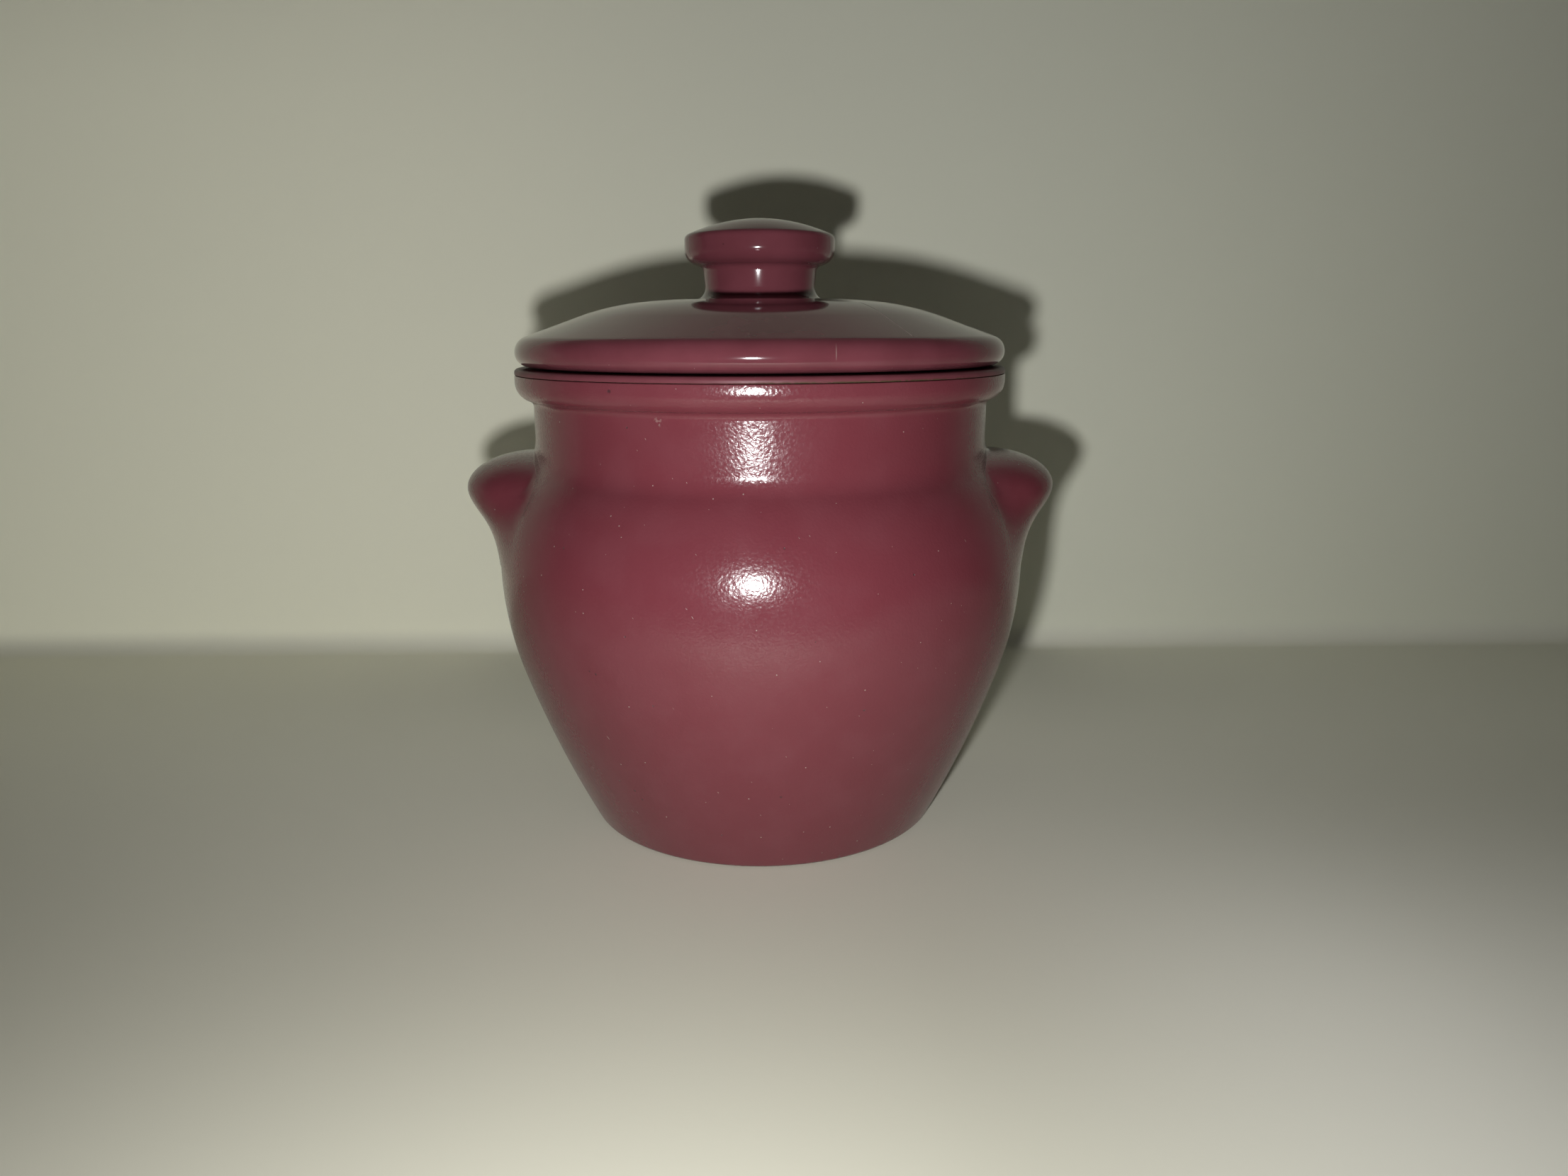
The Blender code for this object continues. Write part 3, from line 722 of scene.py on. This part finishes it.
def lid_top(radius):
    """Height of the lid's top at a radius, inside its rounded edge."""
    if radius <= LID_CROWN_FLAT:
        return CROWN
    if radius <= SLOPE_TOP_RADIUS:
        turn = math.asin((radius - LID_CROWN_FLAT) / LID_CROWN_ARC)
        return CROWN - LID_CROWN_ARC * (1.0 - math.cos(turn))
    return SLOPE_FOOT[1] + (SLOPE_FOOT[0] - radius) * math.tan(LID_SLOPE)


def lid_below():
    """From the middle of the knob's hollow out to the foot of the lid's edge."""
    core_top = KNOB_TOP - KNOB_CAP
    points = [(0.0, core_top)]
    points += straight((KNOB_CORE * KNOB_AXIS_RING, core_top), (KNOB_CORE, core_top), 4)
    points += straight((KNOB_CORE, core_top), (KNOB_CORE, CROWN - LID_WALL), 10)
    for radius, _ in straight((KNOB_CORE, 0.0), (SPIGOT_INSIDE, 0.0), 26):
        points.append((radius, lid_top(radius) - LID_WALL))
    points += straight(points[-1], (SPIGOT_INSIDE, SPIGOT_FOOT), 6)
    points += straight((SPIGOT_INSIDE, SPIGOT_FOOT), (SPIGOT_RADIUS, SPIGOT_FOOT), 2)
    points += straight((SPIGOT_RADIUS, SPIGOT_FOOT), (SPIGOT_RADIUS, LID_BASE), 6)
    return points


def lid_above():
    """Round the lid's edge and up its slope to the foot of the knob."""
    points = arc((LID_RADIUS - LID_UNDER_ARC, LID_EDGE_HEIGHT), LID_UNDER_ARC, -QUARTER, 0.0, 14)
    over_centre = (LID_RADIUS - LID_OVER_ARC, LID_EDGE_HEIGHT)
    points += arc(over_centre, LID_OVER_ARC, 0.0, QUARTER - LID_SLOPE, 14)[1:]
    for radius, _ in straight((SLOPE_FOOT[0], 0.0), (LID_CROWN_FLAT, 0.0), 44):
        points.append((radius, lid_top(radius)))
    return points


def knob():
    """From the knob's foot on the lid up to the middle of its top."""
    neck_top = CROWN + KNOB_NECK_TOP
    foot_centre = (KNOB_WAIST + KNOB_FOOT_FILLET, CROWN + KNOB_FOOT_FILLET)
    neck_centre = (KNOB_WAIST_TOP + KNOB_NECK_FILLET, neck_top - KNOB_NECK_FILLET)
    side_centre = (KNOB_RADIUS - KNOB_SIDE_ARC, neck_top + KNOB_SIDE_ARC)
    edge_centre = (KNOB_RADIUS - KNOB_EDGE_ARC, KNOB_TOP - KNOB_TOP_FALL - KNOB_EDGE_ARC)
    points = straight((LID_CROWN_FLAT, CROWN), (foot_centre[0], CROWN), 3)
    points += arc(foot_centre, KNOB_FOOT_FILLET, -QUARTER, -math.pi, 12)[1:]
    points += arc(neck_centre, KNOB_NECK_FILLET, math.pi, math.pi - KNOB_NECK_TURN, 10)
    points += arc(side_centre, KNOB_SIDE_ARC, KNOB_SIDE_START, 0.0, 16)
    points += arc(edge_centre, KNOB_EDGE_ARC, 0.0, KNOB_EDGE_TURN, 8)
    corner = points[-1]
    for share, _ in straight((1.0, 0.0), (KNOB_AXIS_RING, 0.0), 20):
        points.append((corner[0] * share, KNOB_TOP - (KNOB_TOP - corner[1]) * share ** 2))
    points.append((0.0, KNOB_TOP))
    return points


def scratch(place, start, end, width):
    """1 along a straight scratch between two places seen from above, in millimetres."""
    across = along(place, "X") - start[0]
    deep = along(place, "Y") - start[1]
    length = math.hypot(end[0] - start[0], end[1] - start[1])
    run_x, run_y = (end[0] - start[0]) / length, (end[1] - start[1]) / length
    onward = across * run_x + deep * run_y
    aside = abs(across * run_y - deep * run_x)
    ends = ramp(onward, 0.0, 1.0) * ramp(onward, length, length - 1.0)
    return ramp(aside, width, width * 0.3) * ends


LONG_SCRATCH = ((14.9, -16.7), (21.3, -31.5), 0.14)     # two ends and a width
SHORT_SCRATCH = ((10.06, -37.6), (10.10, -39.4), 0.08)
SHORT_SCRATCH_STRENGTH = 0.3
SCRATCHED_SIDE = (-0.3, 0.1)            # only faces that look up or outwards are scratched
EDGE_PIT = ((3.95, -39.6, 77.1), 0.5)
LID_PITS = (6.5, 0.22, 0.30, 70.0)
LID_SPECKS = (2.6, 0.09, 0.40, 15.0)
LID_FIBRES = (8.0, -50.0, 0.10)
LID_HAZE = 6.0
LID_ROUGHNESS = 0.07


def make_lid_gloss():
    """Clear gloss with hairline scratches, a few pits, specks of dust and lint."""
    material, shader, place = start_finish("gloss_rose")
    haze = clouds(place, LID_HAZE, 4.0)
    dust = specks(place, *LID_SPECKS) + fibres(place, *LID_FIBRES)
    pits = specks(place, *LID_PITS) + spot(place, *EDGE_PIT)
    facing = place.make("ShaderNodeTexCoord", {}, {}, "Normal")
    scratches = scratch(place, *LONG_SCRATCH)
    scratches = scratches + scratch(place, *SHORT_SCRATCH) * SHORT_SCRATCH_STRENGTH
    scratches = scratches * ramp(along(facing, "Z"), *SCRATCHED_SIDE)
    colour = painted(ramp(haze, 0.3, 0.7), GLOSS_ROSE, GLOSS_DEEP)
    colour = painted(pits * 0.7, colour, GRIME)
    colour = painted(ramp(dust, 0.2, 1.0) * 0.5 + scratches * 0.9, colour, LINT)
    colour.into(shader, "Base Color")
    (LID_ROUGHNESS + haze * 0.06 + scratches * 0.3 + dust * 0.3).into(shader, "Roughness")
    swells = clouds(place, 2.4, 1.0) * 0.005
    emboss(swells - scratches * 0.012 - pits * 0.03 + dust * 0.02, shader)
    return material


lid_outline = lid_below() + lid_above() + knob()
lid = turned("lid_with_knob", lid_outline, even_angles(288), make_lid_gloss(), "lid")
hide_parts("lid")
